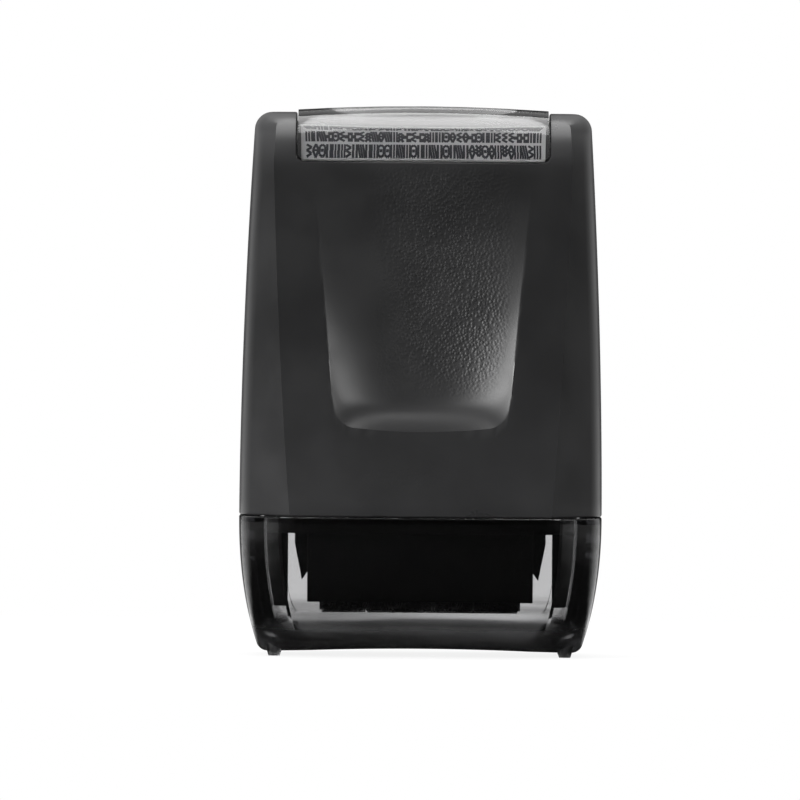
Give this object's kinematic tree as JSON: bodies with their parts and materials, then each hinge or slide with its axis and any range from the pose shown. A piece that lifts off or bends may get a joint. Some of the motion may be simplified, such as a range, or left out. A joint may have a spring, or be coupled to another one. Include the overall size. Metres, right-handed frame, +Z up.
{
  "type": "privacy roller stamp",
  "caption": "Hand-held roller stamp in a black tapered housing with a thumb dish, a clear top window over a sample card, and a smoke-clear cap over the print roller.",
  "frame": {"origin": "middle of the plane under the cap's four feet, on which the stamp stands", "axes": "+X to the right seen from the front, +Y from the front (thumb) side to the back, +Z up from the cap to the window"},
  "size_m": [0.045, 0.03, 0.068],
  "materials": {
    "black_satin_abs": "fine spark texture, satin",
    "black_inner_abs": "satin, as moulded",
    "smoke_clear": "polished smoke-tinted clear plastic",
    "clear_window": "polished clear plastic",
    "printed_card": "smooth, printed with dark marks",
    "stamp_rubber": "matte, inked, with raised marks",
    "ink_foam": "fine open foam, inked",
    "white_acetal": "satin, as moulded",
    "bearing_bronze": "fine turned",
    "steel": "ground"
  },
  "bodies": {
    "cap": {"cap": "smoke_clear"},
    "cartridge": {"cartridge_frame": "black_inner_abs", "cartridge_cover": "black_inner_abs", "cartridge_ear_left": "black_inner_abs", "cartridge_ear_right": "black_inner_abs", "print_roller_axle": "steel", "ink_roller_axle": "steel"},
    "housing": {"front_cover": "black_satin_abs", "back_cover": "black_satin_abs", "chassis": "black_inner_abs", "label_window": "clear_window", "label_card": "printed_card", "label_carrier": "black_inner_abs"},
    "print_roller": {"print_roller_sleeve": "stamp_rubber", "print_roller_core": "white_acetal", "print_roller_bush_left": "bearing_bronze", "print_roller_bush_right": "bearing_bronze"},
    "ink_roller": {"ink_roller_foam": "ink_foam", "ink_roller_core": "white_acetal", "ink_roller_flange_left": "white_acetal", "ink_roller_flange_right": "white_acetal"}
  },
  "joints": [
    {"name": "cap_pull", "type": "slide", "parent": "cap", "child": "cartridge", "axis": [0, 0, 1], "range_m": [0, 0.025]},
    {"name": "cartridge_pull", "type": "slide", "parent": "cartridge", "child": "housing", "axis": [0, 0, 1], "range_m": [0, 0.03]},
    {"name": "print_roller_spin", "type": "hinge", "parent": "cartridge", "child": "print_roller", "pos_m": [0, 0, 0.01285], "axis": [1, 0, 0], "continuous": true},
    {"name": "ink_roller_spin", "type": "hinge", "parent": "cartridge", "child": "ink_roller", "pos_m": [0, 0, 0.02665], "axis": [1, 0, 0], "continuous": true}
  ],
  "couplings": [
    {"joint": "ink_roller_spin", "follows": "print_roller_spin", "ratio": -1.4545}
  ]
}
